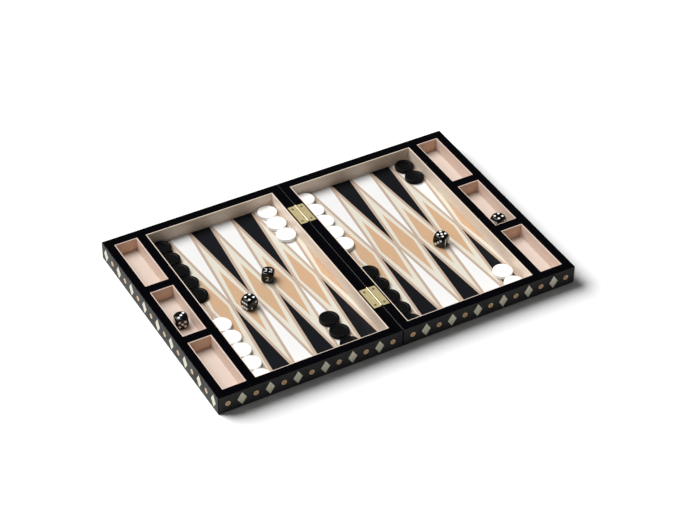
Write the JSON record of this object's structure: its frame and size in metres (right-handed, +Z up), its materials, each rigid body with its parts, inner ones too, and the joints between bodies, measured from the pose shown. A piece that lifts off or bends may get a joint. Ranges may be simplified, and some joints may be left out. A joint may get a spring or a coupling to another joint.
{
  "type": "backgammon set",
  "caption": "Folding backgammon set: two hinged black tray halves with inlaid points, lined trays, loose checkers, dice and a doubling cube.",
  "frame": {"origin": "under the middle of the open set, at the height of the surface that it lies on", "axes": "+X along the front edge from the left half to the right half, +Y towards the back, +Z up out of the open wells"},
  "size_m": [0.48, 0.313, 0.0262],
  "materials": {
    "black_lacquer": "high-gloss black lacquer over hardwood",
    "ground_veneer": "satin veneer, pinkish tan",
    "inlay_veneer": "satin dyed veneers: black and white points, cream lozenges with tan cores",
    "lining_cloth": "short-napped nude cloth",
    "bone_inlay": "polished imitation bone, with tan dots",
    "brass": "polished",
    "white_resin": "polished white resin",
    "black_resin": "satin black resin",
    "dice_resin": "polished black resin with white pips and numerals"
  },
  "bodies": {
    "left_case": {"base_panel_left": "black_lacquer", "front_rail_left": "black_lacquer", "back_rail_left": "black_lacquer", "end_rail_left": "black_lacquer", "bar_rail_left": "black_lacquer", "dividers_left": "black_lacquer", "floor_boards_left": "ground_veneer", "marquetry_left": "inlay_veneer", "linings_left": "lining_cloth", "edge_inlays_left": "bone_inlay", "hinge_leaves_left": "brass", "hinge_screws_left": "brass", "hinge_pins": "brass"},
    "right_case": {"base_panel_right": "black_lacquer", "front_rail_right": "black_lacquer", "back_rail_right": "black_lacquer", "end_rail_right": "black_lacquer", "bar_rail_right": "black_lacquer", "dividers_right": "black_lacquer", "floor_boards_right": "ground_veneer", "marquetry_right": "inlay_veneer", "linings_right": "lining_cloth", "edge_inlays_right": "bone_inlay", "hinge_leaves_right": "brass", "hinge_screws_right": "brass"},
    "white_checker_01": {"white_checker_01": "white_resin"},
    "white_checker_02": {"white_checker_02": "white_resin"},
    "white_checker_03": {"white_checker_03": "white_resin"},
    "white_checker_04": {"white_checker_04": "white_resin"},
    "white_checker_05": {"white_checker_05": "white_resin"},
    "white_checker_06": {"white_checker_06": "white_resin"},
    "white_checker_07": {"white_checker_07": "white_resin"},
    "white_checker_08": {"white_checker_08": "white_resin"},
    "white_checker_09": {"white_checker_09": "white_resin"},
    "white_checker_10": {"white_checker_10": "white_resin"},
    "white_checker_11": {"white_checker_11": "white_resin"},
    "white_checker_12": {"white_checker_12": "white_resin"},
    "white_checker_13": {"white_checker_13": "white_resin"},
    "white_checker_14": {"white_checker_14": "white_resin"},
    "white_checker_15": {"white_checker_15": "white_resin"},
    "black_checker_01": {"black_checker_01": "black_resin"},
    "black_checker_02": {"black_checker_02": "black_resin"},
    "black_checker_03": {"black_checker_03": "black_resin"},
    "black_checker_04": {"black_checker_04": "black_resin"},
    "black_checker_05": {"black_checker_05": "black_resin"},
    "black_checker_06": {"black_checker_06": "black_resin"},
    "black_checker_07": {"black_checker_07": "black_resin"},
    "black_checker_08": {"black_checker_08": "black_resin"},
    "black_checker_09": {"black_checker_09": "black_resin"},
    "black_checker_10": {"black_checker_10": "black_resin"},
    "black_checker_11": {"black_checker_11": "black_resin"},
    "black_checker_12": {"black_checker_12": "black_resin"},
    "black_checker_13": {"black_checker_13": "black_resin"},
    "black_checker_14": {"black_checker_14": "black_resin"},
    "black_checker_15": {"black_checker_15": "black_resin"},
    "die_01": {"die_01": "dice_resin"},
    "die_02": {"die_02": "dice_resin"},
    "die_03": {"die_03": "dice_resin"},
    "die_04": {"die_04": "dice_resin"},
    "doubling_cube": {"doubling_cube": "dice_resin"}
  },
  "joints": [
    {"name": "fold", "type": "hinge", "parent": "left_case", "child": "right_case", "pos_m": [0, 0, 0.0247], "axis": [0, 1, 0], "range_deg": [-180, 0]},
    {"name": "lift_white_checker_01", "type": "slide", "parent": "left_case", "child": "white_checker_01", "axis": [0, 0, 1], "range_m": [0, 0.04]},
    {"name": "lift_white_checker_02", "type": "slide", "parent": "left_case", "child": "white_checker_02", "axis": [0, 0, 1], "range_m": [0, 0.04]},
    {"name": "lift_white_checker_03", "type": "slide", "parent": "left_case", "child": "white_checker_03", "axis": [0, 0, 1], "range_m": [0, 0.04]},
    {"name": "lift_white_checker_04", "type": "slide", "parent": "left_case", "child": "white_checker_04", "axis": [0, 0, 1], "range_m": [0, 0.04]},
    {"name": "lift_white_checker_05", "type": "slide", "parent": "left_case", "child": "white_checker_05", "axis": [0, 0, 1], "range_m": [0, 0.04]},
    {"name": "lift_white_checker_06", "type": "slide", "parent": "left_case", "child": "white_checker_06", "axis": [0, 0, 1], "range_m": [0, 0.04]},
    {"name": "lift_white_checker_07", "type": "slide", "parent": "left_case", "child": "white_checker_07", "axis": [0, 0, 1], "range_m": [0, 0.04]},
    {"name": "lift_white_checker_08", "type": "slide", "parent": "left_case", "child": "white_checker_08", "axis": [0, 0, 1], "range_m": [0, 0.04]},
    {"name": "lift_white_checker_09", "type": "slide", "parent": "right_case", "child": "white_checker_09", "axis": [0, 0, 1], "range_m": [0, 0.04]},
    {"name": "lift_white_checker_10", "type": "slide", "parent": "right_case", "child": "white_checker_10", "axis": [0, 0, 1], "range_m": [0, 0.04]},
    {"name": "lift_white_checker_11", "type": "slide", "parent": "right_case", "child": "white_checker_11", "axis": [0, 0, 1], "range_m": [0, 0.04]},
    {"name": "lift_white_checker_12", "type": "slide", "parent": "right_case", "child": "white_checker_12", "axis": [0, 0, 1], "range_m": [0, 0.04]},
    {"name": "lift_white_checker_13", "type": "slide", "parent": "right_case", "child": "white_checker_13", "axis": [0, 0, 1], "range_m": [0, 0.04]},
    {"name": "lift_white_checker_14", "type": "slide", "parent": "right_case", "child": "white_checker_14", "axis": [0, 0, 1], "range_m": [0, 0.04]},
    {"name": "lift_white_checker_15", "type": "slide", "parent": "right_case", "child": "white_checker_15", "axis": [0, 0, 1], "range_m": [0, 0.04]},
    {"name": "lift_black_checker_01", "type": "slide", "parent": "left_case", "child": "black_checker_01", "axis": [0, 0, 1], "range_m": [0, 0.04]},
    {"name": "lift_black_checker_02", "type": "slide", "parent": "left_case", "child": "black_checker_02", "axis": [0, 0, 1], "range_m": [0, 0.04]},
    {"name": "lift_black_checker_03", "type": "slide", "parent": "left_case", "child": "black_checker_03", "axis": [0, 0, 1], "range_m": [0, 0.04]},
    {"name": "lift_black_checker_04", "type": "slide", "parent": "left_case", "child": "black_checker_04", "axis": [0, 0, 1], "range_m": [0, 0.04]},
    {"name": "lift_black_checker_05", "type": "slide", "parent": "left_case", "child": "black_checker_05", "axis": [0, 0, 1], "range_m": [0, 0.04]},
    {"name": "lift_black_checker_06", "type": "slide", "parent": "left_case", "child": "black_checker_06", "axis": [0, 0, 1], "range_m": [0, 0.04]},
    {"name": "lift_black_checker_07", "type": "slide", "parent": "left_case", "child": "black_checker_07", "axis": [0, 0, 1], "range_m": [0, 0.04]},
    {"name": "lift_black_checker_08", "type": "slide", "parent": "left_case", "child": "black_checker_08", "axis": [0, 0, 1], "range_m": [0, 0.04]},
    {"name": "lift_black_checker_09", "type": "slide", "parent": "right_case", "child": "black_checker_09", "axis": [0, 0, 1], "range_m": [0, 0.04]},
    {"name": "lift_black_checker_10", "type": "slide", "parent": "right_case", "child": "black_checker_10", "axis": [0, 0, 1], "range_m": [0, 0.04]},
    {"name": "lift_black_checker_11", "type": "slide", "parent": "right_case", "child": "black_checker_11", "axis": [0, 0, 1], "range_m": [0, 0.04]},
    {"name": "lift_black_checker_12", "type": "slide", "parent": "right_case", "child": "black_checker_12", "axis": [0, 0, 1], "range_m": [0, 0.04]},
    {"name": "lift_black_checker_13", "type": "slide", "parent": "right_case", "child": "black_checker_13", "axis": [0, 0, 1], "range_m": [0, 0.04]},
    {"name": "lift_black_checker_14", "type": "slide", "parent": "right_case", "child": "black_checker_14", "axis": [0, 0, 1], "range_m": [0, 0.04]},
    {"name": "lift_black_checker_15", "type": "slide", "parent": "right_case", "child": "black_checker_15", "axis": [0, 0, 1], "range_m": [0, 0.04]},
    {"name": "lift_die_01", "type": "slide", "parent": "left_case", "child": "die_01", "axis": [0, 0, 1], "range_m": [0, 0.04]},
    {"name": "lift_die_02", "type": "slide", "parent": "left_case", "child": "die_02", "axis": [0, 0, 1], "range_m": [0, 0.04]},
    {"name": "lift_die_03", "type": "slide", "parent": "right_case", "child": "die_03", "axis": [0, 0, 1], "range_m": [0, 0.04]},
    {"name": "lift_die_04", "type": "slide", "parent": "right_case", "child": "die_04", "axis": [0, 0, 1], "range_m": [0, 0.04]},
    {"name": "lift_doubling_cube", "type": "slide", "parent": "left_case", "child": "doubling_cube", "axis": [0, 0, 1], "range_m": [0, 0.04]}
  ]
}
